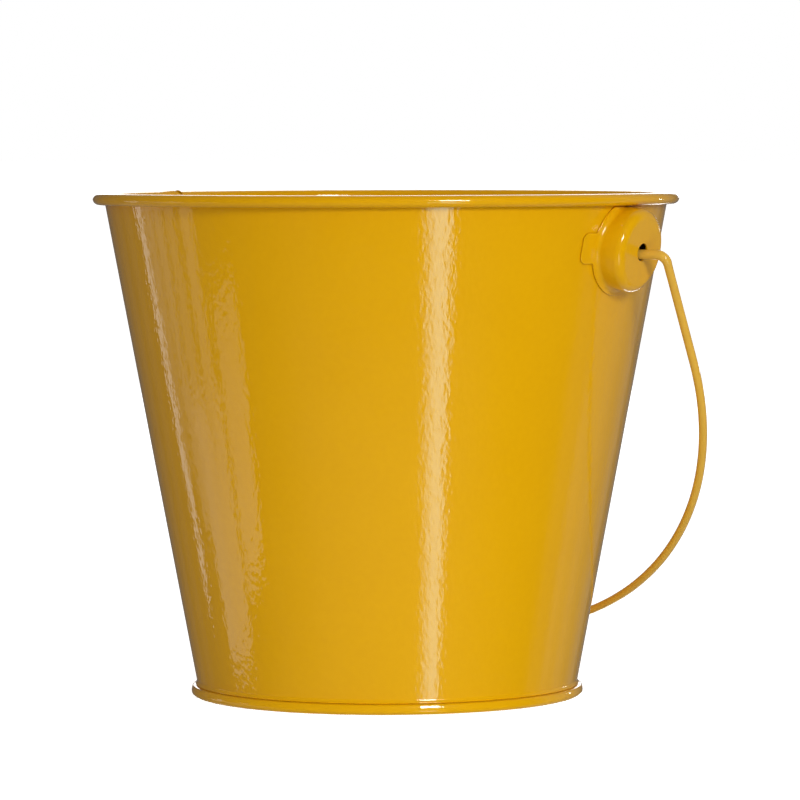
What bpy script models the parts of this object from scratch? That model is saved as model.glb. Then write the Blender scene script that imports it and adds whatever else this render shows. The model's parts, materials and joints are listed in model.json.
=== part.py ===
"""Sand bucket: a small tapered sheet-metal pail with a rolled rim, a seamed base, two stamped ears and a wire bail.

Metres, +Z up. The origin is on the bucket's axis at floor level. +X points through the right ear, and both
ears share one pivot line along X. The bail hangs from them and rests against the back wall, on the +Y side.
"""

import math

import bmesh
import bpy
from mathutils import Matrix, Vector

MM = 0.001

# Driving dimensions
SHEET = 0.4 * MM  # steel sheet of the wall, base and ears
GAP = 0.3 * MM  # clearance kept between neighbouring pieces
RIM_RADIUS = 75.0 * MM  # outermost reach of the rolled rim
RIM_TOP = 128.8 * MM
CURL_HALF_HEIGHT = 1.48 * MM
CURL_START = -135.0  # degrees on the curl's ellipse where the sheet's edge ends
WALL_FOOT_RADIUS = 48.8 * MM  # outer face of the wall where it meets the foot ring
WALL_TOP_RADIUS = 72.1 * MM  # outer face of the wall at the curl's middle
FOOT_RADIUS = 50.3 * MM
FOOT_HEIGHT = 3.35 * MM
FOOT_EDGE_ROUND = 1.2 * MM
FLOOR_UNDERSIDE = 2.9 * MM
LIP_HEIGHT = 2.2 * MM  # underside of the wall's outward lip, hidden in the foot ring

SEAM_AZIMUTH = 173.2  # degrees from +X, the middle of the wall's side lap
SEAM_WIDTH = 4.0 * MM
NOTCH_AZIMUTH = 171.6  # degrees, where the lap's edge opens the curl
NOTCH_WIDTH = 1.7 * MM
NOTCH_DEPTH = 1.1 * MM

EAR_HEIGHT = 115.65 * MM  # the ear's middle, measured on the wall's outer face
EAR_DEPTH = 6.25 * MM  # from the wall to the ear's outer face
CUP_RADIUS = 10.3 * MM
CUP_EDGE_ROUND = 2.3 * MM
CUP_FILLET = 1.2 * MM
FLANGE_RADIUS = 12.1 * MM
FLANGE_TOP = 10.4 * MM  # the flange is cut straight here, under the rim
TAB_REACH = 16.3 * MM
TAB_HALF_HEIGHT = 3.85 * MM
TAB_CORNER = 1.8 * MM
HOLE_RADIUS = 2.18 * MM

WIRE_RADIUS = 1.0 * MM
BAIL_HALF_WIDTH = 82.5 * MM  # from the bucket's axis to the middle of the wire
BAIL_REACH = 113.0 * MM  # from the pivot line to the middle of the wire at the crown
BAIL_SHOULDER = 2.5 * MM
HOOK_POSITION = 73.0 * MM  # the wire's hooked end inside the ear, from the bucket's axis
HOOK_LENGTH = 4.5 * MM
HOOK_BEND = 1.6 * MM

# Mesh fineness
FACETS = 60
CURL_POINTS = 13
BEND_POINTS = 4
CROWN_POINTS = 49

# Worked out from the dimensions above
CURL_HEIGHT = RIM_TOP - CURL_HALF_HEIGHT
WALL_TAPER = (WALL_TOP_RADIUS - WALL_FOOT_RADIUS) / (CURL_HEIGHT - FOOT_HEIGHT)
SLOPE = math.atan(WALL_TAPER)
FACET_TURN = math.radians(360.0 / FACETS)
TURN_START = math.radians(SEAM_AZIMUTH) + FACET_TURN / 2
HOLE_LOW_POINT = EAR_HEIGHT - (EAR_DEPTH - SHEET) * math.sin(SLOPE) - HOLE_RADIUS * math.cos(SLOPE)
PIVOT_HEIGHT = HOLE_LOW_POINT + GAP + WIRE_RADIUS

PAINT = (0.78, 0.38, 0.012, 1.0)


def clear_scene():
    for old in list(bpy.data.objects):
        bpy.data.objects.remove(old)


def collection(name):
    made = bpy.data.collections.new(name)
    bpy.context.scene.collection.children.link(made)
    return made


def paint(name, roughness):
    material = bpy.data.materials.new(name)
    material.use_nodes = True
    shader = material.node_tree.nodes["Principled BSDF"]
    shader.inputs["Base Color"].default_value = PAINT
    shader.inputs["Roughness"].default_value = roughness
    shader.inputs["Metallic"].default_value = 0.0
    shader.inputs["Coat Weight"].default_value = 0.5
    return material


def wall_radius(height):
    """Radius of the wall's outer face at this height."""
    return WALL_FOOT_RADIUS + WALL_TAPER * (height - FOOT_HEIGHT)


def inner_radius(height):
    return wall_radius(height) - SHEET / math.cos(SLOPE)


def bend(centre, radius, start, end, count=BEND_POINTS):
    """Points of a round bend in a turned profile, from one angle to the other in degrees."""
    points = []
    for step in range(count):
        angle = math.radians(start + (end - start) * step / (count - 1))
        points.append((centre[0] + radius * math.cos(angle), centre[1] + radius * math.sin(angle)))
    return points


def curl_half_width():
    """Half width of the curl's ellipse, so that it is tangent to the wall and ends at the rim's radius."""
    reach = (RIM_RADIUS - inner_radius(CURL_HEIGHT)) * math.cos(SLOPE)
    lean = CURL_HALF_HEIGHT * math.sin(SLOPE)
    return (reach * reach - lean * lean) / (2 * reach * math.cos(SLOPE))


def curl_profile():
    """The rolled rim's visible face, from the sheet's tucked edge round and over to the top of the wall."""
    half_width = curl_half_width()
    middle = RIM_RADIUS - half_width
    end = math.degrees(math.atan2(CURL_HALF_HEIGHT * math.sin(SLOPE), -half_width * math.cos(SLOPE)))
    points = []
    for step in range(CURL_POINTS):
        angle = math.radians(CURL_START + (end - CURL_START) * step / (CURL_POINTS - 1))
        across = middle + half_width * math.cos(angle)
        up = CURL_HEIGHT + CURL_HALF_HEIGHT * math.sin(angle)
        points.append((across, up))
    return points


def wall_profile():
    """The wall's inner face: the curl, the straight taper, and the lip that turns outward inside the foot ring."""
    turn = SHEET
    corner_height = LIP_HEIGHT + turn
    corner_radius = inner_radius(corner_height)
    lip_end = FOOT_RADIUS - SHEET - GAP
    lip_bend = bend((corner_radius + turn, corner_height), turn, 180.0, 270.0)
    return curl_profile() + lip_bend + [(lip_end, LIP_HEIGHT)]


def base_profile():
    """The base's outer face: hook over the wall's lip, foot ring, and up to the raised floor at the axis."""
    hook_end = wall_radius(FOOT_HEIGHT) + GAP
    hook_round = 0.6 * MM
    hook = (FOOT_RADIUS - hook_round, FOOT_HEIGHT - hook_round)
    foot = (FOOT_RADIUS - FOOT_EDGE_ROUND, FOOT_EDGE_ROUND)
    recess = inner_radius(LIP_HEIGHT) - GAP - SHEET
    recess_round = 0.7 * MM
    floor_round = 0.5 * MM
    heel = (recess + recess_round, recess_round)
    floor_corner = (recess - floor_round, FLOOR_UNDERSIDE - floor_round)
    points = [(hook_end, FOOT_HEIGHT)]
    points += bend(hook, hook_round, 90.0, 0.0)
    points += bend(foot, FOOT_EDGE_ROUND, 0.0, -90.0)
    points += bend(heel, recess_round, 270.0, 180.0, count=3)
    points += bend(floor_corner, floor_round, 0.0, 90.0, count=3)
    points.append((0.0, FLOOR_UNDERSIDE))
    return points


def turned_sheet(name, profile, sheet_side, material, home):
    """A turned shell of sheet metal. sheet_side is 1 where the sheet lies outside the profile and -1 inside."""
    mesh = bpy.data.meshes.new(name)
    points = [(across, 0.0, up) for across, up in profile]
    mesh.from_pydata(points, [(i, i + 1) for i in range(len(points) - 1)], [])
    mesh.materials.append(material)
    piece = bpy.data.objects.new(name, mesh)
    home.objects.link(piece)
    piece.rotation_euler = (0.0, 0.0, TURN_START)
    turn = piece.modifiers.new("Turn", "SCREW")
    turn.axis = "Z"
    turn.angle = math.radians(360.0)
    turn.steps = FACETS
    turn.render_steps = FACETS
    turn.use_merge_vertices = True
    turn.merge_threshold = 0.01 * MM
    thicken = piece.modifiers.new("Sheet", "SOLIDIFY")
    thicken.thickness = SHEET
    thicken.offset = sheet_side
    thicken.use_even_offset = True
    return piece


def tool_object(name, mesh, home):
    """A cutter or an added strip that only shapes another piece."""
    tool = bpy.data.objects.new(name, mesh)
    tool.hide_render = True
    tool.display_type = "WIRE"
    home.objects.link(tool)
    return tool


def use_tool(piece, tool, operation):
    shape = piece.modifiers.new(tool.name, "BOOLEAN")
    shape.object = tool
    shape.operation = operation
    shape.solver = "EXACT"


def seam_lap(home):
    """The raised strip where the wall's two edges lap, from above the foot ring up to the ear that covers it."""
    low = FOOT_HEIGHT + 2 * GAP
    high = EAR_HEIGHT - (FLANGE_RADIUS + 2 * GAP) * math.cos(SLOPE)
    bite = SHEET / 2
    thickness = SHEET + bite
    length = (high - low) / math.cos(SLOPE)
    middle = (low + high) / 2
    flat_radius = wall_radius(middle) * math.cos(FACET_TURN / 2)
    mesh = bpy.data.meshes.new("seam_lap")
    box = bmesh.new()
    bmesh.ops.create_cube(box, size=1.0)
    bmesh.ops.scale(box, vec=(thickness, SEAM_WIDTH, length), verts=box.verts)
    bmesh.ops.translate(box, vec=(thickness / 2 - bite, 0.0, 0.0), verts=box.verts)
    box.to_mesh(mesh)
    box.free()
    strip = tool_object("seam_lap", mesh, home)
    place = Matrix.Rotation(math.radians(SEAM_AZIMUTH), 4, "Z")
    place @= Matrix.Translation((flat_radius, 0.0, middle))
    place @= Matrix.Rotation(SLOPE, 4, "Y")
    strip.matrix_world = place
    return strip


def curl_notch(home):
    """A V-shaped wedge that opens the top of the curl where the sheet's two edges meet."""
    overshoot = 1.0 * MM
    half = NOTCH_WIDTH / 2 * (NOTCH_DEPTH + overshoot) / NOTCH_DEPTH
    mesh = bpy.data.meshes.new("curl_notch")
    wedge = bmesh.new()
    ends = []
    for across in (inner_radius(CURL_HEIGHT) - overshoot, RIM_RADIUS + overshoot):
        tip = wedge.verts.new((across, 0.0, RIM_TOP - NOTCH_DEPTH))
        right = wedge.verts.new((across, half, RIM_TOP + overshoot))
        left = wedge.verts.new((across, -half, RIM_TOP + overshoot))
        ends.append([tip, right, left])
    wedge.faces.new(ends[0])
    wedge.faces.new(reversed(ends[1]))
    for corner in range(3):
        following = (corner + 1) % 3
        wedge.faces.new((ends[0][following], ends[0][corner], ends[1][corner], ends[1][following]))
    bmesh.ops.recalc_face_normals(wedge, faces=wedge.faces)
    wedge.to_mesh(mesh)
    wedge.free()
    cutter = tool_object("curl_notch", mesh, home)
    cutter.rotation_euler = (0.0, 0.0, math.radians(NOTCH_AZIMUTH))
    return cutter


def make_wall(material, home, tools):
    wall = turned_sheet("wall", wall_profile(), 1.0, material, home)
    use_tool(wall, seam_lap(tools), "UNION")
    use_tool(wall, curl_notch(tools), "DIFFERENCE")
    return wall


def make_base(material, home):
    return turned_sheet("base", base_profile(), -1.0, material, home)


def on_wall(across, up, proud):
    """A point that far round the wall and up its slope from the ear's middle, standing proud of its outer face."""
    radius = wall_radius(EAR_HEIGHT) + up * math.sin(SLOPE)
    turn = across / radius
    foot = Vector((radius * math.cos(turn), radius * math.sin(turn), EAR_HEIGHT + up * math.cos(SLOPE)))
    out = Vector((math.cos(turn) * math.cos(SLOPE), math.sin(turn) * math.cos(SLOPE), -math.sin(SLOPE)))
    return foot + out * proud


def off_wall(across, up, proud):
    """The same, measured from the plane that touches the wall at the ear's middle."""
    middle = Vector((wall_radius(EAR_HEIGHT), 0.0, EAR_HEIGHT))
    out = Vector((math.cos(SLOPE), 0.0, -math.sin(SLOPE)))
    rise = Vector((math.sin(SLOPE), 0.0, math.cos(SLOPE)))
    return middle + out * proud + Vector((0.0, across, 0.0)) + rise * up


def tab_outline(angle):
    """Distance from the ear's middle to the edge of its two rounded tabs, in this direction."""
    along = abs(math.cos(angle))
    aside = abs(math.sin(angle))
    corner = (TAB_REACH - TAB_CORNER, TAB_HALF_HEIGHT - TAB_CORNER)
    if TAB_REACH * aside <= corner[1] * along:
        return TAB_REACH / along
    if TAB_HALF_HEIGHT * along <= corner[0] * aside:
        return TAB_HALF_HEIGHT / aside
    middle = corner[0] * along + corner[1] * aside
    rest = corner[0] ** 2 + corner[1] ** 2 - TAB_CORNER**2
    return middle + math.sqrt(middle * middle - rest)


def ear_outline(angle):
    """Distance from the ear's middle to its edge: a round flange cut straight under the rim, with two tabs."""
    flange = FLANGE_RADIUS
    if math.sin(angle) * FLANGE_RADIUS > FLANGE_TOP:
        flange = FLANGE_TOP / math.sin(angle)
    return max(flange, tab_outline(angle))


def ear_angles():
    """Directions round the ear, closer together where its outline turns."""
    corner = (TAB_REACH - TAB_CORNER, TAB_HALF_HEIGHT - TAB_CORNER)
    quarter = [0.0]
    for turn in (0.0, 30.0, 60.0, 90.0):
        edge_across = corner[0] + TAB_CORNER * math.cos(math.radians(turn))
        edge_up = corner[1] + TAB_CORNER * math.sin(math.radians(turn))
        quarter.append(math.atan2(edge_up, edge_across))
    tab_meets_flange = math.asin(TAB_HALF_HEIGHT / FLANGE_RADIUS)
    cut_corner = math.asin(FLANGE_TOP / FLANGE_RADIUS)
    for start, end, steps in ((tab_meets_flange, cut_corner, 5), (cut_corner, math.pi / 2, 4)):
        quarter += [start + (end - start) * step / steps for step in range(steps)]
    half = quarter + [math.pi / 2] + [math.pi - angle for angle in reversed(quarter[1:])]
    return half + [angle + math.pi for angle in half]


def ear_rings():
    """The ear's section from its hole outward: radius, height off the wall, and how flat, from 0 on the wall to 1."""
    rings = [(HOLE_RADIUS, EAR_DEPTH, 1.0)]
    for turn in (0.0, 30.0, 60.0, 90.0):
        radius = CUP_RADIUS - CUP_EDGE_ROUND * (1 - math.sin(math.radians(turn)))
        rings.append((radius, EAR_DEPTH - CUP_EDGE_ROUND * (1 - math.cos(math.radians(turn))), 1.0))
    for turn in (0.0, 45.0, 90.0):
        radius = CUP_RADIUS + CUP_FILLET * (1 - math.cos(math.radians(turn)))
        rings.append((radius, GAP + SHEET + CUP_FILLET * (1 - math.sin(math.radians(turn))), 0.0))
    return rings


def ear_point(ring, angle):
    radius, proud, flatness = ring
    room = (ear_outline(angle) - CUP_RADIUS) / (FLANGE_RADIUS - CUP_RADIUS)
    if radius > CUP_RADIUS:
        radius = CUP_RADIUS + (radius - CUP_RADIUS) * min(1.0, room)
    across = radius * math.cos(angle)
    up = radius * math.sin(angle)
    return on_wall(across, up, proud).lerp(off_wall(across, up, proud), flatness)


def ear_mesh(material):
    """A loft from the round cup's face out to the tabbed flange that lies on the tapered wall."""
    angles = ear_angles()
    rings = []
    shell = bmesh.new()
    for ring in ear_rings():
        rings.append([shell.verts.new(ear_point(ring, angle)) for angle in angles])
    edge = []
    for angle in angles:
        reach = ear_outline(angle)
        point = on_wall(reach * math.cos(angle), reach * math.sin(angle), GAP + SHEET)
        edge.append(shell.verts.new(point))
    rings.append(edge)
    for near, far in zip(rings, rings[1:]):
        for index in range(len(angles)):
            following = (index + 1) % len(angles)
            shell.faces.new((near[index], far[index], far[following], near[following]))
    mesh = bpy.data.meshes.new("ear")
    shell.to_mesh(mesh)
    shell.free()
    mesh.materials.append(material)
    mesh.shade_smooth()
    return mesh


def make_ear(name, mesh, azimuth, home):
    ear = bpy.data.objects.new(name, mesh)
    home.objects.link(ear)
    ear.rotation_euler = (0.0, 0.0, math.radians(azimuth))
    thicken = ear.modifiers.new("Sheet", "SOLIDIFY")
    thicken.thickness = SHEET
    thicken.offset = -1.0
    thicken.use_even_offset = True
    return ear


def bail_rest_angle():
    """How far the bail hangs from straight down when its crown rests against the back wall."""
    wall_distance = wall_radius(PIVOT_HEIGHT) * math.cos(SLOPE) + WIRE_RADIUS + GAP
    return math.asin(wall_distance / BAIL_REACH) - SLOPE


def half_bail():
    """The wire's middle line from its hooked end inside the right ear to just before the crown, as (across, down)."""
    crown_radius = BAIL_HALF_WIDTH
    crown_middle = BAIL_REACH - crown_radius
    points = [(HOOK_POSITION, -HOOK_LENGTH)]
    points += bend((HOOK_POSITION + HOOK_BEND, -HOOK_BEND), HOOK_BEND, 180.0, 90.0, count=5)
    shoulder = (BAIL_HALF_WIDTH - BAIL_SHOULDER, BAIL_SHOULDER)
    points += bend(shoulder, BAIL_SHOULDER, -90.0, 0.0, count=7)
    for step in range(CROWN_POINTS // 2):
        angle = math.radians(180.0) * step / (CROWN_POINTS - 1)
        points.append((crown_radius * math.cos(angle), crown_middle + crown_radius * math.sin(angle)))
    return points


def make_bail(material, home):
    right = half_bail()
    left = [(-across, down) for across, down in reversed(right)]
    points = right + [(0.0, BAIL_REACH)] + left
    curve = bpy.data.curves.new("bail", "CURVE")
    curve.dimensions = "3D"
    curve.bevel_depth = WIRE_RADIUS
    curve.bevel_resolution = 2
    curve.use_fill_caps = True
    spline = curve.splines.new("POLY")
    spline.points.add(len(points) - 1)
    for place, (across, down) in zip(spline.points, points):
        place.co = (across, 0.0, -down, 1.0)
    curve.materials.append(material)
    bail = bpy.data.objects.new("bail", curve)
    bail.location = (0.0, 0.0, PIVOT_HEIGHT)
    bail.rotation_euler = (bail_rest_angle(), 0.0, 0.0)
    home.objects.link(bail)
    return bail


def main():
    clear_scene()
    bucket = collection("sand_bucket")
    tools = collection("shaping_tools")
    sheet_paint = paint("sheet_paint", 0.16)
    wire_paint = paint("wire_paint", 0.24)
    make_wall(sheet_paint, bucket, tools)
    make_base(sheet_paint, bucket)
    ear = ear_mesh(sheet_paint)
    make_ear("ear_right", ear, 0.0, bucket)
    make_ear("ear_left", ear, 180.0, bucket)
    make_bail(wire_paint, bucket)


main()
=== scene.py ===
"""Looks of the sand bucket: turned sheet metal, stamped ears and a wire bail in glossy golden enamel."""

import json
import math

import bmesh
import bpy
import numpy as np
from mathutils import Matrix, Vector


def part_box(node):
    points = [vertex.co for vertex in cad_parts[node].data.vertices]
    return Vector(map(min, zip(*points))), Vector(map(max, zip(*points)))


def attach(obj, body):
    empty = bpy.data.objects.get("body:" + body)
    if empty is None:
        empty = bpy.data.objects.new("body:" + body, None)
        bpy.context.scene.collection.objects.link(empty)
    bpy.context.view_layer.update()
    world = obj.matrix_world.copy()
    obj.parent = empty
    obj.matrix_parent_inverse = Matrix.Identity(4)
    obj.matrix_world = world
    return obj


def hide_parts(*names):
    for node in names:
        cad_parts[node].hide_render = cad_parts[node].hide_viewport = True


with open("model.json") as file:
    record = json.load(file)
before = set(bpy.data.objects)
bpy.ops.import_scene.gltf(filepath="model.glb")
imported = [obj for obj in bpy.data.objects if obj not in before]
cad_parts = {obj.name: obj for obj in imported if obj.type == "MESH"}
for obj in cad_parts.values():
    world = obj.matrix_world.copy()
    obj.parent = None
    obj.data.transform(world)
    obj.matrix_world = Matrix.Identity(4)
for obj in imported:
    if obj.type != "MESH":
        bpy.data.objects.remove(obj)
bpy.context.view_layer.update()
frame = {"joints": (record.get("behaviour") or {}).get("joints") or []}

MM = 0.001

# The sheet metal
SHEET = 0.4 * MM
GAP = 0.3 * MM
RIM_RADIUS = 75.0 * MM
RIM_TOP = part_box("wall")[1].z
CURL_HALF_HEIGHT = 1.48 * MM
CURL_START = -135.0
CURL_MIDDLE_INSET = 1.6 * MM
WALL_FOOT_RADIUS = 48.8 * MM
WALL_TOP_RADIUS = 72.1 * MM
LIP_HEIGHT = 2.2 * MM

# The foot: the wall flares out over a rounded bead, which hooks over its edge
FLARE_START = 4.1 * MM
FLARE_RADIUS = 2.0 * MM
FLARE_TURN = 36.0
FOOT_RADIUS = 50.3 * MM
FOOT_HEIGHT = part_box("base")[1].z
FOOT_EDGE_ROUND = 1.2 * MM
BEAD_SIDE_RADIUS = 5.0 * MM
BEAD_SIDE_TURNS = (18.0, 6.0)
HOOK_ROUND = 0.45 * MM
HOOK_START = 78.0
HOOK_TUCK = 0.25 * MM
FLOOR_UNDERSIDE = 2.9 * MM
RECESS_ROUND = 0.7 * MM
FLOOR_ROUND = 0.5 * MM

# The side lap, and the notch that it leaves in the curl
SEAM_AZIMUTH = math.radians(173.2)
SEAM_WIDTH = 4.0 * MM
SEAM_RAMP = 0.3 * MM
SEAM_TOP = 108.0 * MM
NOTCH_AZIMUTH = math.radians(172.4)
NOTCH_DEPTH = 1.2 * MM
NOTCH_RUN = 2.1 * MM
CURL_LAP_RISE = 0.4 * MM
CURL_LAP_RUN = math.radians(7.0)
CURL_LAP_FADE = (-0.6, 0.2)
NOTCH_OVERSHOOT = 0.8 * MM
NOTCH_MARGIN = 1.5 * MM
NOTCH_BACK = 0.1 * MM

# The ears
EAR_HEIGHT = 115.42 * MM
EAR_DEPTH = 6.25 * MM
EAR_GAP = 0.13 * MM
CUP_RADIUS = 10.5 * MM
CUP_EDGE_ROUND = 2.3 * MM
CUP_FILLET = 1.2 * MM
FLANGE_RADIUS = 12.2 * MM
FLANGE_TOP = 10.4 * MM
TAB_REACH = 16.3 * MM
TAB_HALF_HEIGHT = 3.85 * MM
TAB_CORNER = 1.8 * MM
TAB_ROOT_ROUND = 0.7 * MM
HOLE_RADIUS = 2.18 * MM
HOLE_EDGE_ROUND = 0.15 * MM

# The bail
PIVOT_HEIGHT = frame["joints"][0]["pos_m"][2]
WIRE_RADIUS = 1.07 * MM
WIRE_END_ROUND = 0.25 * MM
WIRE_SWELLING = 0.16
BAIL_HALF_WIDTH = 82.5 * MM
BAIL_REACH = 113.0 * MM
BAIL_SHOULDER = 2.5 * MM
HOOK_POSITION = 73.0 * MM
HOOK_LENGTH = 4.5 * MM
HOOK_BEND = 1.6 * MM

# Mesh fineness
ROUND_COLUMNS = 440
SEAM_COLUMNS = 81
SEAM_REGION = 8.0 * MM
WIRE_SIDES = 36
WIRE_END_RINGS = 4
SHARP_ANGLE = math.radians(42.0)

CURL_HEIGHT = RIM_TOP - CURL_HALF_HEIGHT
WALL_TAPER = (WALL_TOP_RADIUS - WALL_FOOT_RADIUS) / (CURL_HEIGHT - FOOT_HEIGHT)
SLOPE = math.atan(WALL_TAPER)

# The camera, measured from the middle of the bucket's foot
CAMERA_AZIMUTH = 33.16
CAMERA_DISTANCE = 1.243
CAMERA_ASIDE = 0.00347
CAMERA_HEIGHT = 0.14126
CAMERA_PITCH = 3.026
CAMERA_ROLL = -0.134
LENS = 218.2

# Colours
SHEET_LIGHT = (0.81, 0.415, 0.001, 1.0)
SHEET_DARK = (0.785, 0.395, 0.001, 1.0)
WIRE_LIGHT = (0.80, 0.46, 0.06, 1.0)
WIRE_DARK = (0.76, 0.43, 0.05, 1.0)
# Bare tinplate inside the ears, kept dark as painted shade inside the cup
SHADED_TINPLATE_LIGHT = (0.30, 0.31, 0.36, 1.0)
SHADED_TINPLATE_DARK = (0.16, 0.17, 0.21, 1.0)
FLOOR_LIGHT = (0.62, 0.62, 0.62, 1.0)
FLOOR_DARK = (0.58, 0.58, 0.58, 1.0)
STUDIO_GREY = (0.385, 0.36, 0.34, 1.0)
WHITE = (1.0, 1.0, 1.0, 1.0)

# Waves in the enamel, as (waves per metre, depth as a share of its ripple, drawn out up the wall)
LONG_RIPPLE = (62.0, 1.0, False)
SHORT_RIPPLE = (290.0, 0.18, True)
ORANGE_PEEL = (950.0, 0.52, True)

# Azimuth of the large light cards on the left
LEFT = -100.0

# The floor
FLOOR_REACH = 30.0
FLOOR_DROP = 0.02 * MM


# ---------------------------------------------------------------- outlines and meshes


def wall_radius(height):
    """Radius of the wall's outer face at this height."""
    return WALL_FOOT_RADIUS + WALL_TAPER * (height - FOOT_HEIGHT)


def inner_radius(height):
    """Radius of the wall's inner face at this height."""
    return wall_radius(height) - SHEET / math.cos(SLOPE)


def bend(centre, radius, start, end, count):
    """Points (across, up) round a bend, from one angle to the other in degrees."""
    angles = np.radians(np.linspace(start, end, count))
    return np.column_stack((centre[0] + radius * np.cos(angles), centre[1] + radius * np.sin(angles)))


def straight(start, end, count, hold=0.3 * MM):
    """Points strictly between start and end, with one held close to each end so that bends stay crisp."""
    start, end = np.array(start), np.array(end)
    share = min(0.25, hold / np.linalg.norm(end - start))
    steps = np.concatenate(([share / 2], np.linspace(share, 1 - share, count), [1 - share / 2]))[:, None]
    return start * (1 - steps) + end * steps


def outward(path):
    """Normals of a path, on its left when it runs upward, stretched so that an offset path stays parallel."""
    run = np.diff(path, axis=0)
    run /= np.linalg.norm(run, axis=1)[:, None]
    normals = np.column_stack((-run[:, 1], run[:, 0]))
    before = np.vstack((normals[:1], normals))
    after = np.vstack((normals, normals[-1:]))
    middle = before + after
    middle /= np.linalg.norm(middle, axis=1)[:, None]
    return middle / np.sum(middle * before, axis=1)[:, None]


def round_edge(near, far, count=7):
    """The half-round cut edge of a sheet, from its near face to its far face, without the two end points."""
    middle, half = (near + far) / 2, (near - far) / 2
    ahead = np.array((half[1], -half[0]))
    angles = np.radians(np.linspace(0.0, 180.0, count + 2))[1:-1, None]
    return middle + half * np.cos(angles) + ahead * np.sin(angles)


def sheet_section(outer, inner, open_end):
    """Closed outline of a sheet: down its outer face, round its lower edge and up its inner face.
    open_end says that the two faces end on the axis."""
    low = np.empty((0, 2)) if open_end else round_edge(outer[-1], inner[-1])
    return np.vstack((outer, low, inner[::-1], round_edge(inner[0], outer[0])))


def shade(mesh):
    mesh.shade_smooth()
    mesh.set_sharp_from_angle(angle=SHARP_ANGLE)


def mesh_object(name, points, faces, material):
    mesh = bpy.data.meshes.new(name)
    mesh.from_pydata(np.asarray(points).tolist(), [], faces)
    mesh.materials.append(material)
    shade(mesh)
    piece = bpy.data.objects.new(name, mesh)
    bpy.context.scene.collection.objects.link(piece)
    return piece


def column_azimuths(radius):
    """Azimuths of the columns of a turned piece at this radius: dense and evenly spaced by length beside the
    side lap, whose edges run straight up the wall, and even by angle everywhere else."""
    seam = np.linspace(-SEAM_REGION, SEAM_REGION, SEAM_COLUMNS) / radius
    rest = np.linspace(seam[-1], 2 * math.pi + seam[0], ROUND_COLUMNS + 2)[1:-1]
    return SEAM_AZIMUTH + np.concatenate((seam, rest))


def turned(name, section, material, shape=None):
    """A piece turned about the axis from its closed section. shape(row, across, up, azimuths) may move a row
    of its points."""
    rows = []
    points = []
    for index, (across, up) in enumerate(section):
        if across < 1e-7:
            rows.append([len(points)])
            points.append((0.0, 0.0, up))
            continue
        azimuths = column_azimuths(wall_radius(min(up, RIM_TOP)))
        out = np.full(len(azimuths), across)
        height = np.full(len(azimuths), up)
        if shape:
            out, height = shape(index, out, height, azimuths)
        rows.append(list(range(len(points), len(points) + len(azimuths))))
        points += list(zip(out * np.cos(azimuths), out * np.sin(azimuths), height))
    faces = []
    for above, below in zip(rows, rows[1:] + rows[:1]):
        columns = max(len(above), len(below))
        for column in range(columns):
            beside = (column + 1) % columns
            if len(above) == len(below) == 1:
                continue
            if len(above) == 1:
                faces.append((above[0], below[column], below[beside]))
            elif len(below) == 1:
                faces.append((above[column], below[0], above[beside]))
            else:
                faces.append((above[column], below[column], below[beside], above[beside]))
    return mesh_object(name, points, faces, material)


def smooth_step(value):
    value = np.clip(value, 0.0, 1.0)
    return value * value * (3 - 2 * value)


# ---------------------------------------------------------------- wall and base


def curl_path(count):
    """The rolled rim's visible face, from the sheet's tucked edge round and over to the top of the wall."""
    reach = (RIM_RADIUS - inner_radius(CURL_HEIGHT)) * math.cos(SLOPE)
    lean = CURL_HALF_HEIGHT * math.sin(SLOPE)
    half_width = (reach * reach - lean * lean) / (2 * reach * math.cos(SLOPE))
    end = math.degrees(math.atan2(lean, -half_width * math.cos(SLOPE)))
    angles = np.radians(np.linspace(CURL_START, end, count))
    across = RIM_RADIUS - half_width + half_width * np.cos(angles)
    return np.column_stack((across, CURL_HEIGHT + CURL_HALF_HEIGHT * np.sin(angles)))


def wall_paths():
    """The wall's inner face from the curl's tucked edge down to its flared end, and its outer face."""
    curl = curl_path(44)
    middle = (inner_radius(FLARE_START) + FLARE_RADIUS, FLARE_START)
    flare = bend(middle, FLARE_RADIUS, 180.0 + math.degrees(SLOPE) / 2, 180.0 + FLARE_TURN, 13)
    inner = np.vstack((curl, straight(curl[-1], flare[0], 26), flare))
    return inner, inner + outward(inner) * SHEET


def side_lap(across, up, azimuths):
    """How far the lapped strip of the wall stands proud at these azimuths."""
    from_middle = np.abs(azimuths - SEAM_AZIMUTH) * wall_radius(up[0])
    ends = smooth_step((up - FOOT_HEIGHT - GAP) / SEAM_RAMP) * smooth_step((SEAM_TOP - up) / SEAM_RAMP)
    return SHEET * ends * smooth_step((SEAM_WIDTH / 2 + SEAM_RAMP / 2 - from_middle) / SEAM_RAMP)


def wall_shape(outer_rows):
    """Moves a row of the wall's points: the curl rises over its lapped end, and the side lap stands proud."""
    curl_middle = (RIM_RADIUS - CURL_MIDDLE_INSET, CURL_HEIGHT)
    fade_start, fade_end = CURL_LAP_FADE

    def shape(index, across, up, azimuths):
        if up[0] > CURL_HEIGHT - 2 * CURL_HALF_HEIGHT:
            past = azimuths - NOTCH_AZIMUTH
            rise = np.where(past >= 0, CURL_LAP_RISE * (1 - smooth_step(past / CURL_LAP_RUN)), 0.0)
            out = np.array((across[0] - curl_middle[0], up[0] - curl_middle[1]))
            length = np.linalg.norm(out)
            share = smooth_step((out[1] / length - fade_start) / (fade_end - fade_start))
            return across + rise * share * out[0] / length, up + rise * share * out[1] / length
        if index in outer_rows:
            lap = side_lap(across, up, azimuths)
            return across + lap * math.cos(SLOPE), up - lap * math.sin(SLOPE)
        return across, up

    return shape


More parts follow.
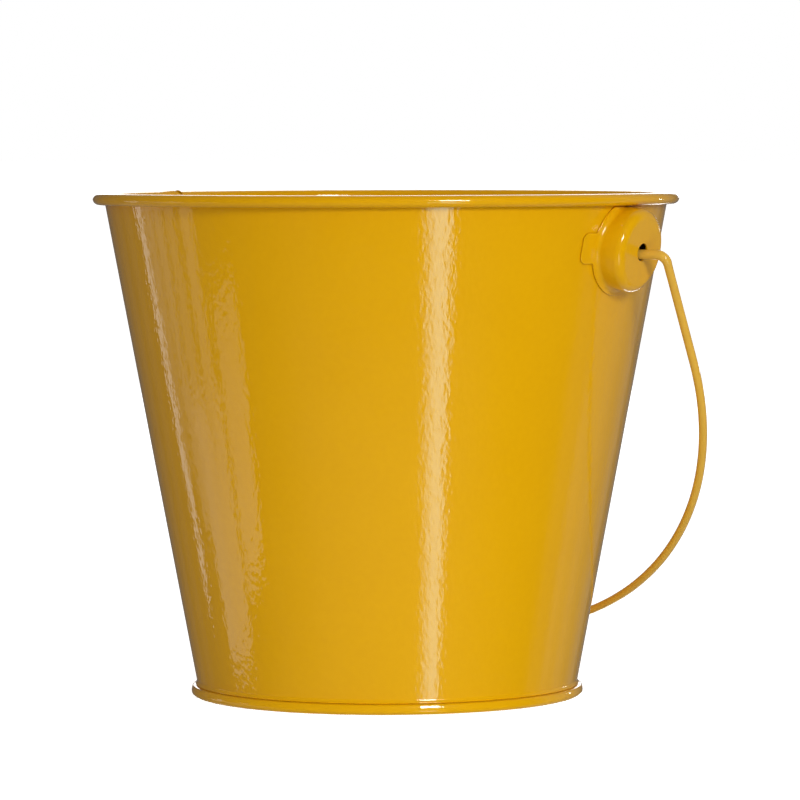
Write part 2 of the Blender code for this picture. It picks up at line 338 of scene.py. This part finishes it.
def curl_notch():
    """A wedge upright on one side and sloping on the other, which opens the curl where the lap ends."""
    top = RIM_TOP + NOTCH_OVERSHOOT
    bottom = RIM_TOP - NOTCH_DEPTH
    run = NOTCH_RUN * (top - bottom) / NOTCH_DEPTH
    points = []
    for across in (WALL_TOP_RADIUS - NOTCH_MARGIN, RIM_RADIUS + NOTCH_MARGIN):
        points += [(across, 0.0, bottom), (across, run, top), (across, -NOTCH_BACK, top)]
    faces = [(2, 1, 0), (3, 4, 5), (0, 1, 4, 3), (1, 2, 5, 4), (2, 0, 3, 5)]
    mesh = bpy.data.meshes.new("curl_notch")
    mesh.from_pydata(points, [], faces)
    wedge = bmesh.new()
    wedge.from_mesh(mesh)
    bmesh.ops.recalc_face_normals(wedge, faces=wedge.faces)
    wedge.to_mesh(mesh)
    wedge.free()
    cutter = bpy.data.objects.new("curl_notch", mesh)
    bpy.context.scene.collection.objects.link(cutter)
    cutter.rotation_euler = (0.0, 0.0, NOTCH_AZIMUTH)
    return cutter


def cut(piece, cutter):
    """Cuts the piece and removes the cutter."""
    modifier = piece.modifiers.new("Cut", "BOOLEAN")
    modifier.object = cutter
    modifier.operation = "DIFFERENCE"
    modifier.solver = "MANIFOLD"
    graph = bpy.context.evaluated_depsgraph_get()
    mesh = bpy.data.meshes.new_from_object(piece.evaluated_get(graph), depsgraph=graph)
    piece.modifiers.remove(modifier)
    piece.data = mesh
    shade(mesh)
    bpy.data.objects.remove(cutter)


def make_wall(material):
    inner, outer = wall_paths()
    section = sheet_section(outer, inner, open_end=False)
    wall = turned("bucket_wall", section, material, wall_shape(range(len(outer))))
    cut(wall, curl_notch())
    return wall


def make_base(material):
    """The bead with its edge tucked in under the wall's flare, the recess and the floor, all one sheet."""
    recess = inner_radius(LIP_HEIGHT) - GAP - SHEET
    shoulder, side_end = BEAD_SIDE_TURNS
    foot = bend((FOOT_RADIUS - FOOT_EDGE_ROUND, FOOT_EDGE_ROUND), FOOT_EDGE_ROUND, side_end, -90.0, 15)
    inward = bend((0.0, 0.0), 1.0, side_end, shoulder, 2)
    middle = foot[0] - BEAD_SIDE_RADIUS * inward[0]
    side = bend(middle, BEAD_SIDE_RADIUS, shoulder, side_end, 9)[:-1]
    hook = bend(side[0] - HOOK_ROUND * inward[1], HOOK_ROUND, HOOK_START, shoulder, 9)[:-1]
    hook_end = (wall_radius(hook[0][1]), hook[0][1] + HOOK_TUCK)
    heel = bend((recess + RECESS_ROUND, RECESS_ROUND), RECESS_ROUND, 270.0, 180.0, 9)
    corner = bend((recess - FLOOR_ROUND, FLOOR_UNDERSIDE - FLOOR_ROUND), FLOOR_ROUND, 0.0, 90.0, 9)
    outer = np.vstack((
        [hook_end],
        hook,
        side,
        foot,
        heel,
        straight(heel[-1], corner[0], 2, 0.1 * MM),
        corner,
        straight(corner[-1], (0.0, FLOOR_UNDERSIDE), 16, 1.0 * MM),
        [(0.0, FLOOR_UNDERSIDE)],
    ))
    inner = outer - outward(outer) * SHEET
    inner[-1, 0] = 0.0
    return turned("bucket_base", sheet_section(outer, inner, open_end=True), material)


# ---------------------------------------------------------------- ears


def on_wall(across, up, proud):
    """A point that far round the wall and up its slope from the ear's middle, proud of its outer face."""
    radius = wall_radius(EAR_HEIGHT) + up * math.sin(SLOPE)
    turn = across / radius
    foot = Vector((radius * math.cos(turn), radius * math.sin(turn), EAR_HEIGHT + up * math.cos(SLOPE)))
    out = Vector((math.cos(turn) * math.cos(SLOPE), math.sin(turn) * math.cos(SLOPE), -math.sin(SLOPE)))
    return foot + out * proud


def off_wall(across, up, proud):
    """The same, measured from the plane that touches the wall at the ear's middle."""
    middle = Vector((wall_radius(EAR_HEIGHT), 0.0, EAR_HEIGHT))
    out = Vector((math.cos(SLOPE), 0.0, -math.sin(SLOPE)))
    rise = Vector((math.sin(SLOPE), 0.0, math.cos(SLOPE)))
    return middle + out * proud + Vector((0.0, across, 0.0)) + rise * up


def tab_outline(angle):
    """Distance from the ear's middle to the edge of its two rounded tabs, in this direction."""
    along = abs(math.cos(angle))
    aside = abs(math.sin(angle))
    corner = (TAB_REACH - TAB_CORNER, TAB_HALF_HEIGHT - TAB_CORNER)
    if TAB_REACH * aside <= corner[1] * along:
        return TAB_REACH / along
    if TAB_HALF_HEIGHT * along <= corner[0] * aside:
        return TAB_HALF_HEIGHT / aside
    middle = corner[0] * along + corner[1] * aside
    rest = corner[0] ** 2 + corner[1] ** 2 - TAB_CORNER**2
    return middle + math.sqrt(middle * middle - rest)


def ear_outline(angle):
    """Distance from the ear's middle to its edge: a round flange cut off under the rim, with two tabs."""
    flange = FLANGE_RADIUS
    if math.sin(angle) * FLANGE_RADIUS > FLANGE_TOP:
        flange = FLANGE_TOP / math.sin(angle)
    tab = tab_outline(angle)
    blend = max(TAB_ROOT_ROUND - abs(flange - tab), 0.0)
    return max(flange, tab) + blend * blend / (4 * TAB_ROOT_ROUND)


def ear_angles():
    """Directions round the ear, closer together where its outline turns."""
    corner = (TAB_REACH - TAB_CORNER, TAB_HALF_HEIGHT - TAB_CORNER)
    turns = np.radians(np.linspace(0.0, 90.0, 11))
    edge = np.arctan2(corner[1] + TAB_CORNER * np.sin(turns), corner[0] + TAB_CORNER * np.cos(turns))
    tab_root = math.asin(TAB_HALF_HEIGHT / FLANGE_RADIUS)
    cut_corner = math.asin(FLANGE_TOP / FLANGE_RADIUS)
    stretches = ((0.0, edge[0], 4), (edge[-1], tab_root, 8), (tab_root, 0.5, 6), (0.5, cut_corner, 16))
    quarter = [np.linspace(start, end, steps, endpoint=False) for start, end, steps in stretches]
    quarter.insert(1, edge[:-1])
    quarter.append(np.linspace(cut_corner, math.pi / 2, 15, endpoint=False))
    quarter = np.concatenate(quarter)
    half = np.concatenate((quarter, [math.pi / 2], math.pi - quarter[:0:-1]))
    return np.concatenate((half, half + math.pi))


def cup_section():
    """The cup's outer face from the hole to the flat flange, and its inner face back to the hole, each as
    (radius, proud)."""
    face = EAR_DEPTH
    edge_middle = (CUP_RADIUS - CUP_EDGE_ROUND, face - CUP_EDGE_ROUND)
    fillet_middle = (CUP_RADIUS + CUP_FILLET, EAR_GAP + SHEET + CUP_FILLET)
    hole = bend((HOLE_RADIUS + HOLE_EDGE_ROUND, face - HOLE_EDGE_ROUND), HOLE_EDGE_ROUND, 180.0, 90.0, 5)
    edge = bend(edge_middle, CUP_EDGE_ROUND, 90.0, 0.0, 17)
    fillet = bend(fillet_middle, CUP_FILLET, 180.0, 270.0, 13)
    outer = np.vstack((
        hole,
        straight(hole[-1], edge[0], 6),
        edge,
        straight(edge[-1], fillet[0], 4, 0.1 * MM),
        fillet,
    ))
    inner_fillet = bend(fillet_middle, CUP_FILLET + SHEET, 270.0, 180.0, 9)
    inner_edge = bend(edge_middle, CUP_EDGE_ROUND - SHEET, 0.0, 90.0, 9)
    inner = np.vstack((
        inner_fillet,
        straight(inner_fillet[-1], inner_edge[0], 2, 0.1 * MM),
        inner_edge,
        straight(inner_edge[-1], (HOLE_RADIUS, face - SHEET), 3),
        [(HOLE_RADIUS, face - SHEET)],
    ))
    return outer, inner


def ear_point(radius, proud, angle):
    """A point of the cup. Its foot follows the round wall and its face is flat."""
    room = (ear_outline(angle) - CUP_RADIUS) / (FLANGE_RADIUS - CUP_RADIUS)
    if radius > CUP_RADIUS:
        radius = CUP_RADIUS + (radius - CUP_RADIUS) * min(1.0, room)
    low = EAR_GAP + SHEET + CUP_FILLET
    high = EAR_DEPTH - CUP_EDGE_ROUND
    flatness = min(1.0, max(0.0, (proud - low) / (high - low)))
    across = radius * math.cos(angle)
    up = radius * math.sin(angle)
    return on_wall(across, up, proud).lerp(off_wall(across, up, proud), flatness)


def flange_rings(angle):
    """The flange this way: out over its outer face, round its edge and back under it, as (radius, proud)."""
    reach = ear_outline(angle)
    room = min(1.0, (reach - CUP_RADIUS) / (FLANGE_RADIUS - CUP_RADIUS))
    start = CUP_RADIUS + CUP_FILLET * room
    half = min(SHEET / 2, (reach - start) / 2)
    out = start + (reach - half - start) * np.linspace(0.0, 1.0, 7)[1:]
    turns = np.radians(np.linspace(90.0, -90.0, 9)[1:-1])
    middle = EAR_GAP + SHEET / 2
    rings = [(radius, EAR_GAP + SHEET) for radius in out]
    for turn in turns:
        rings.append((reach - half + half * math.cos(turn), middle + SHEET / 2 * math.sin(turn)))
    return rings + [(radius, EAR_GAP) for radius in out[::-1]]


def ear_mesh(name, paint, bare_and_shaded):
    """A loft from the cup's round face to the tabbed flange, with the inside of the cup left unpainted and
    dark, as painted shade inside the cup.
    """
    outer, inner = cup_section()
    columns = []
    for angle in ear_angles():
        column = [ear_point(radius, proud, angle) for radius, proud in outer]
        for radius, proud in flange_rings(angle):
            column.append(on_wall(radius * math.cos(angle), radius * math.sin(angle), proud))
        column += [ear_point(radius, proud, angle) for radius, proud in inner]
        columns.append(column)
    count = len(columns[0])
    points = [point[:] for column in columns for point in column]
    faces = []
    for index in range(len(columns)):
        beside = (index + 1) % len(columns)
        for ring in range(count):
            further = (ring + 1) % count
            faces.append((
                index * count + ring,
                index * count + further,
                beside * count + further,
                beside * count + ring,
            ))
    ear = mesh_object(name, points, faces, paint)
    ear.data.materials.append(bare_and_shaded)
    # The inner faces take the second material: bare steel, dark as painted shade inside the cup
    inside = np.zeros(len(faces), np.int32)
    inside.reshape(len(columns), count)[:, count - len(inner):count - 1] = 1
    ear.data.polygons.foreach_set("material_index", inside)
    return ear


def make_ear(name, azimuth, paint, bare_and_shaded):
    ear = ear_mesh(name, paint, bare_and_shaded)
    ear.data.transform(Matrix.Rotation(math.radians(azimuth), 4, "Z"))
    return ear


# ---------------------------------------------------------------- bail


def bail_path():
    """The wire's middle line as (across, down) from the right ear's hook over the crown to the left ear's."""
    crown_middle = BAIL_REACH - BAIL_HALF_WIDTH
    hook = bend((HOOK_POSITION + HOOK_BEND, -HOOK_BEND), HOOK_BEND, 180.0, 90.0, 13)
    shoulder = bend((BAIL_HALF_WIDTH - BAIL_SHOULDER, BAIL_SHOULDER), BAIL_SHOULDER, -90.0, 0.0, 17)
    crown = bend((0.0, crown_middle), BAIL_HALF_WIDTH, 0.0, 90.0, 121)
    right = np.vstack((
        [(HOOK_POSITION, -HOOK_LENGTH)],
        straight((HOOK_POSITION, -HOOK_LENGTH), hook[0], 3),
        hook,
        straight(hook[-1], shoulder[0], 4),
        shoulder,
        straight(shoulder[-1], crown[0], 14),
        crown,
    ))
    return np.vstack((right, right[-2::-1] * (-1, 1)))


def wire_radii(path):
    """The wire's radius along its middle line: the short run outside each ear is a little thicker."""
    past_hook = smooth_step((np.abs(path[:, 0]) - HOOK_POSITION) / HOOK_BEND)
    swelling = 1 + WIRE_SWELLING * past_hook * (path[:, 1] < BAIL_SHOULDER)
    return WIRE_RADIUS * np.convolve(np.pad(swelling, 4, "edge"), np.full(9, 1 / 9), "valid")


def rounded_ends(path, run, radii):
    """The path, its directions and its radii, with each end replaced by rings that round off its edge."""
    turns = np.radians(np.linspace(0.0, 90.0, WIRE_END_RINGS + 1))[:-1]
    first = path[0] - run[0] * WIRE_END_ROUND * np.sin(turns[::-1, None])
    last = path[-1] + run[-1] * WIRE_END_ROUND * np.sin(turns[:, None])
    edge = WIRE_RADIUS - WIRE_END_ROUND * (1 - np.cos(turns))
    path = np.vstack((first, path[1:-1], last))
    first_runs, last_runs = (np.repeat(end, WIRE_END_RINGS, axis=0) for end in (run[:1], run[-1:]))
    run = np.vstack((first_runs, run[1:-1], last_runs))
    return path, run, np.concatenate((edge[::-1], radii[1:-1], edge))


def make_bail(material):
    path = bail_path()
    run = np.gradient(path, axis=0)
    run /= np.linalg.norm(run, axis=1)[:, None]
    path, run, radii = rounded_ends(path, run, wire_radii(path))
    sides = np.linspace(0.0, 2 * math.pi, WIRE_SIDES, endpoint=False)
    points = []
    for (across, down), (run_across, run_down), radius in zip(path, run, radii):
        for side in sides:
            aside = radius * math.cos(side)
            points.append((across - run_down * aside, radius * math.sin(side), -(down + run_across * aside)))
    rings = len(path)
    faces = []
    for ring in range(rings - 1):
        for side in range(WIRE_SIDES):
            beside = (side + 1) % WIRE_SIDES
            faces.append((
                ring * WIRE_SIDES + side,
                ring * WIRE_SIDES + beside,
                (ring + 1) * WIRE_SIDES + beside,
                (ring + 1) * WIRE_SIDES + side,
            ))
    faces.append(tuple(range(WIRE_SIDES))[::-1])
    faces.append(tuple((rings - 1) * WIRE_SIDES + side for side in range(WIRE_SIDES)))
    bail = mesh_object("bail_wire", points, faces, material)
    wall_distance = wall_radius(PIVOT_HEIGHT) * math.cos(SLOPE) + WIRE_RADIUS + GAP
    rest = math.asin(wall_distance / BAIL_REACH) - SLOPE
    bail.data.transform(Matrix.Translation((0.0, 0.0, PIVOT_HEIGHT)) @ Matrix.Rotation(rest, 4, "X"))
    return bail


# ---------------------------------------------------------------- materials


class Nodes:
    """Short calls for a material's node tree."""

    def __init__(self, tree):
        self.tree = tree

    def feed(self, node, inputs):
        """Links each input to its source, or sets it to its value."""
        for socket, source in inputs.items():
            if isinstance(source, bpy.types.NodeSocket):
                self.tree.links.new(source, node.inputs[socket])
            else:
                node.inputs[socket].default_value = source

    def add(self, kind, inputs=None, **values):
        node = self.tree.nodes.new("ShaderNode" + kind)
        for key, value in values.items():
            setattr(node, key, value)
        self.feed(node, inputs or {})
        return node

    def combine(self, operation, first, second):
        return self.add("Math", {0: first, 1: second}, operation=operation).outputs[0]

    def stretch(self, vector, factors):
        return self.add("VectorMath", {0: vector, 1: factors}, operation="MULTIPLY").outputs[0]

    def dot(self, direction, other):
        return self.add("VectorMath", {0: direction, 1: other}, operation="DOT_PRODUCT").outputs["Value"]

    def blend(self, factor, dark, light):
        """The colour at this factor of the way from dark to light."""
        inputs = {"Factor": factor, "A": dark, "B": light}
        return self.add("Mix", inputs, data_type="RGBA").outputs["Result"]

    def noise(self, scale, detail=2.0, roughness=0.5, vector=None):
        inputs = {"Scale": scale, "Detail": detail, "Roughness": roughness}
        if vector is not None:
            inputs["Vector"] = vector
        return self.add("TexNoise", inputs).outputs["Fac"]

    def ramp(self, value, low, high, start=0.0, end=1.0, **values):
        """Runs from start to end as value runs from low to high, and stays level beyond them."""
        inputs = {"Value": value, "From Min": low, "From Max": high, "To Min": start, "To Max": end}
        return self.add("MapRange", inputs, **values).outputs["Result"]


def new_material(name):
    material = bpy.data.materials.new(name)
    material.use_nodes = True
    nodes = Nodes(material.node_tree)
    shader = material.node_tree.nodes["Principled BSDF"]
    return material, nodes, shader


def enamel(name, light, dark, ripple, roughness):
    """Glossy golden enamel: a cloudy tone, ripples from the sheet and fine orange peel from the spray."""
    material, nodes, shader = new_material(name)
    place = nodes.add("TexCoord").outputs["Object"]
    cloud = nodes.noise(38.0, 3.0, 0.6, place)
    mottle = nodes.noise(620.0, 2.0, 0.5, place)
    tone = nodes.combine("ADD", nodes.ramp(cloud, 0.3, 0.7), nodes.ramp(mottle, 0.3, 0.7))
    haze = nodes.noise(90.0, 4.0, 0.6, place)
    drawn = nodes.stretch(place, (1.0, 1.0, 0.5))
    normal = {}
    for scale, share, is_drawn in (LONG_RIPPLE, SHORT_RIPPLE, ORANGE_PEEL):
        height = nodes.noise(scale, 1.0, 0.5, drawn if is_drawn else place)
        bump = nodes.add("Bump", {"Height": height, "Distance": ripple * share, "Strength": 1.0, **normal})
        normal = {"Normal": bump.outputs["Normal"]}
    nodes.feed(shader, {
        "Base Color": nodes.blend(nodes.ramp(tone, 0.0, 2.0), dark, light),
        "Roughness": nodes.ramp(haze, 0.3, 0.7, roughness * 0.85, roughness * 1.15),
        "Specular IOR Level": 0.05,
        "Coat Weight": 1.0,
        "Coat Roughness": 0.03,
        "Coat IOR": 1.5,
        "Normal": normal["Normal"],
        "Coat Normal": normal["Normal"],
    })
    return material


def bare_steel_painted_shade():
    """The unpainted inside of the ears: dull tinplate, mottled at random and kept dark as painted shade
    inside the cup.
    """
    material, nodes, shader = new_material("bare_tinplate_painted_shade")
    place = nodes.add("TexCoord").outputs["Object"]
    stain = nodes.noise(260.0, 4.0, 0.6, place)
    nodes.feed(shader, {
        "Base Color": nodes.blend(nodes.ramp(stain, 0.35, 0.65), SHADED_TINPLATE_DARK, SHADED_TINPLATE_LIGHT),
        "Roughness": nodes.ramp(stain, 0.3, 0.7, 0.4, 0.6),
        "Metallic": 0.5,
    })
    return material


# ---------------------------------------------------------------- stage


def panel(name, facing, aside, up, wide, high, radiance, lean=0.0, low=1.0, soft=(0.0, 0.0),
          distance=1.1, colour=(1.0, 1.0, 1.0)):
    """A plain light card in the upright plane that faces the bucket from this azimuth, seen from the bucket.
    Azimuth 0 is the camera's side and grows to its right. aside and up place the card from the middle of
    the foot. lean tips its top to the left, low scales its lower edge, and soft gives the shares of its
    width that fade on the left and on the right."""
    light = bpy.data.lights.new(name, "AREA")
    light.shape = "RECTANGLE"
    light.size = wide
    light.size_y = high
    light.energy = radiance * wide * high * math.pi
    light.color = colour
    if low != 1.0 or any(soft):
        light.use_nodes = True
        nodes = Nodes(light.node_tree)
        emission = light.node_tree.nodes["Emission"]
        across = nodes.add("SeparateXYZ", {0: nodes.add("NewGeometry").outputs["Parametric"]}).outputs
        strength = nodes.ramp(across["Y"], 0.0, 1.0, low, 1.0)
        for start, share in ((0.0, soft[0]), (1.0, soft[1])):
            if share:
                side = nodes.ramp(across["X"], start, abs(start - share), interpolation_type="SMOOTHSTEP")
                strength = nodes.combine("MULTIPLY", strength, side)
        light.node_tree.links.new(strength, emission.inputs["Strength"])
    lamp = bpy.data.objects.new(name, light)
    turn = Matrix.Rotation(math.radians(facing + CAMERA_AZIMUTH), 4, "Z")
    place = turn @ Matrix.Translation((aside, -distance, up)) @ Matrix.Rotation(math.radians(90.0), 4, "X")
    lamp.matrix_world = place @ Matrix.Rotation(math.radians(lean), 4, "Z")
    lamp.visible_camera = False
    bpy.context.scene.collection.objects.link(lamp)
    return lamp


def make_lights():
    panel("key", 24.0, 0.03, 0.46, 0.24, 0.30, 27.5)
    panel("key_table_glow", 26.0, -0.015, -0.50, 0.30, 0.56, 5.0, lean=20.0, low=0.6,
          soft=(0.6, 0.35), colour=(0.6, 1.0, 1.0))
    panel("left_line", LEFT, -0.375, -0.165, 0.085, 0.26, 1.5, lean=17.0)
    panel("left_glow", LEFT, -0.26, -0.12, 0.17, 0.22, 0.7, low=0.3, soft=(0.3, 0.3))
    panel("left_high_1", LEFT, -0.12, -0.15, 0.11, 0.26, 0.5)
    panel("left_high_2", LEFT, 0.03, -0.13, 0.12, 0.24, 0.42)
    panel("left_high_3", LEFT, 0.21, -0.15, 0.15, 0.26, 0.6, soft=(0.15, 0.15))
    panel("left_low", LEFT, 0.12, -0.315, 0.39, 0.14, 0.8, lean=-9.0, low=1.25)
    panel("left_front", LEFT, 0.52, -0.355, 0.32, 0.15, 0.55, lean=-11.0, low=2.0)
    panel("far_right_spot", 133.0, 0.0, 0.08, 0.03, 0.03, 25.0)
    panel("far_left_spot", -89.5, 0.0, 0.05, 0.03, 0.03, 25.0)
    panel("left_window", -113.0, 0.0, 0.02, 0.10, 0.07, 1.6)
    panel("backdrop_low", 180.0, -0.10, -1.08, 0.7, 1.65, 3.5, distance=1.6)
    panel("backdrop_high", 180.0, -0.05, 0.77, 0.7, 1.3, 2.5, distance=1.6)
    bounce = panel("table_bounce", 0.0, 0.0, -0.03, 0.5, 0.06, 1.7, distance=0.25)
    bounce.visible_glossy = False
    fill = panel("right_fill", 85.0, 0.0, 0.3, 0.6, 0.6, 0.25)
    fill.visible_glossy = False


def make_world():
    """Even grey light for the paint. Its gloss sees a dark studio with pale streaks on both sides and a faint
    table below, and the camera sees white."""
    world = bpy.data.worlds.new("studio")
    bpy.context.scene.world = world
    world.use_nodes = True
    tree = world.node_tree
    tree.nodes.clear()
    nodes = Nodes(tree)
    path = nodes.add("LightPath").outputs
    turn = math.radians(CAMERA_AZIMUTH)
    direction = nodes.add("TexCoord").outputs["Generated"]
    ahead = nodes.dot(direction, (math.sin(turn), -math.cos(turn), 0.0))
    aside = nodes.dot(direction, (math.cos(turn), math.sin(turn), 0.0))
    rise = nodes.add("SeparateXYZ", {0: direction}).outputs["Z"]
    right_start = nodes.ramp(ahead, -0.02, -0.30, 0.0, 0.25)
    right_end = nodes.ramp(ahead, -0.70, -0.95, 1.0, 0.45)
    right = nodes.combine("MULTIPLY", right_start, right_end)
    left = nodes.ramp(ahead, 0.35, -0.65, 0.03, 0.09)
    sides = nodes.add("Mix", {"Factor": nodes.ramp(aside, -0.1, 0.1), "A": left, "B": right})
    squashed = nodes.stretch(direction, (1.0, 1.0, 0.12))
    streaks = nodes.ramp(nodes.noise(7.0, 3.0, 0.6, squashed), 0.35, 0.65, 0.5, 1.4)
    streaked = nodes.combine("MULTIPLY", sides.outputs["Result"], streaks)
    table = nodes.ramp(rise, -0.37, -0.45, 0.005, 0.14)
    even = nodes.add("Background", {"Color": STUDIO_GREY, "Strength": 1.0})
    mirror = nodes.add("Background", {"Color": WHITE, "Strength": nodes.combine("ADD", streaked, table)})
    seen = nodes.add("Background", {"Color": WHITE, "Strength": 1.0})
    first = nodes.add("MixShader", {0: path["Is Glossy Ray"], 1: even.outputs[0], 2: mirror.outputs[0]})
    second = nodes.add("MixShader", {0: path["Is Camera Ray"], 1: first.outputs[0], 2: seen.outputs[0]})
    nodes.add("OutputWorld", {"Surface": second.outputs[0]})


def make_floor():
    """A plain pale floor that runs out to the horizon."""
    material, nodes, shader = new_material("pale_floor")
    place = nodes.add("TexCoord").outputs["Object"]
    cloud = nodes.noise(3.0, 3.0, 0.5, place)
    nodes.feed(shader, {
        "Base Color": nodes.blend(nodes.ramp(cloud, 0.3, 0.7), FLOOR_DARK, FLOOR_LIGHT),
        "Roughness": 0.7,
        "Specular IOR Level": 0.0,
        "Emission Color": WHITE,
        "Emission Strength": 0.90,
    })
    mesh = bpy.data.meshes.new("floor")
    corners = [(-1, -1), (1, -1), (1, 1), (-1, 1)]
    mesh.from_pydata([(x * FLOOR_REACH, y * FLOOR_REACH, 0.0) for x, y in corners], [], [(0, 1, 2, 3)])
    mesh.materials.append(material)
    floor = bpy.data.objects.new("floor", mesh)
    floor.location = (0.0, 0.0, -FLOOR_DROP)
    bpy.context.scene.collection.objects.link(floor)
    floor.visible_glossy = False
    floor.visible_diffuse = False
    floor.visible_shadow = False


def make_camera():
    data = bpy.data.cameras.new("camera")
    data.lens = LENS
    data.sensor_width = 36.0
    data.clip_start = 0.01
    data.clip_end = 200.0
    camera = bpy.data.objects.new("camera", data)
    bpy.context.scene.collection.objects.link(camera)
    turn = Matrix.Rotation(math.radians(CAMERA_AZIMUTH), 4, "Z")
    place = turn @ Matrix.Translation((CAMERA_ASIDE, -CAMERA_DISTANCE, CAMERA_HEIGHT))
    tilt = Matrix.Rotation(math.radians(90.0 - CAMERA_PITCH), 4, "X")
    camera.matrix_world = place @ tilt @ Matrix.Rotation(math.radians(CAMERA_ROLL), 4, "Z")
    bpy.context.scene.camera = camera


def settle(piece, node, body):
    """Puts a piece in its node's place, on the body that carries it."""
    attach(piece, body)
    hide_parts(node)


def main():
    make_camera()
    sheet_paint = enamel("sheet_enamel", SHEET_LIGHT, SHEET_DARK, ripple=0.075 * MM, roughness=0.35)
    wire_paint = enamel("wire_enamel", WIRE_LIGHT, WIRE_DARK, ripple=0.03 * MM, roughness=0.42)
    # Bare steel for the inside of the ears, dark as painted shade inside the cup
    bare_and_shaded = bare_steel_painted_shade()
    settle(make_wall(sheet_paint), "wall", "bucket")
    settle(make_base(sheet_paint), "base", "bucket")
    settle(make_ear("right_ear", 0.0, sheet_paint, bare_and_shaded), "ear_right", "bucket")
    settle(make_ear("left_ear", 180.0, sheet_paint, bare_and_shaded), "ear_left", "bucket")
    settle(make_bail(wire_paint), "bail", "bail")
    make_lights()
    make_world()
    make_floor()
    bpy.context.scene.view_settings.view_transform = "Standard"


main()
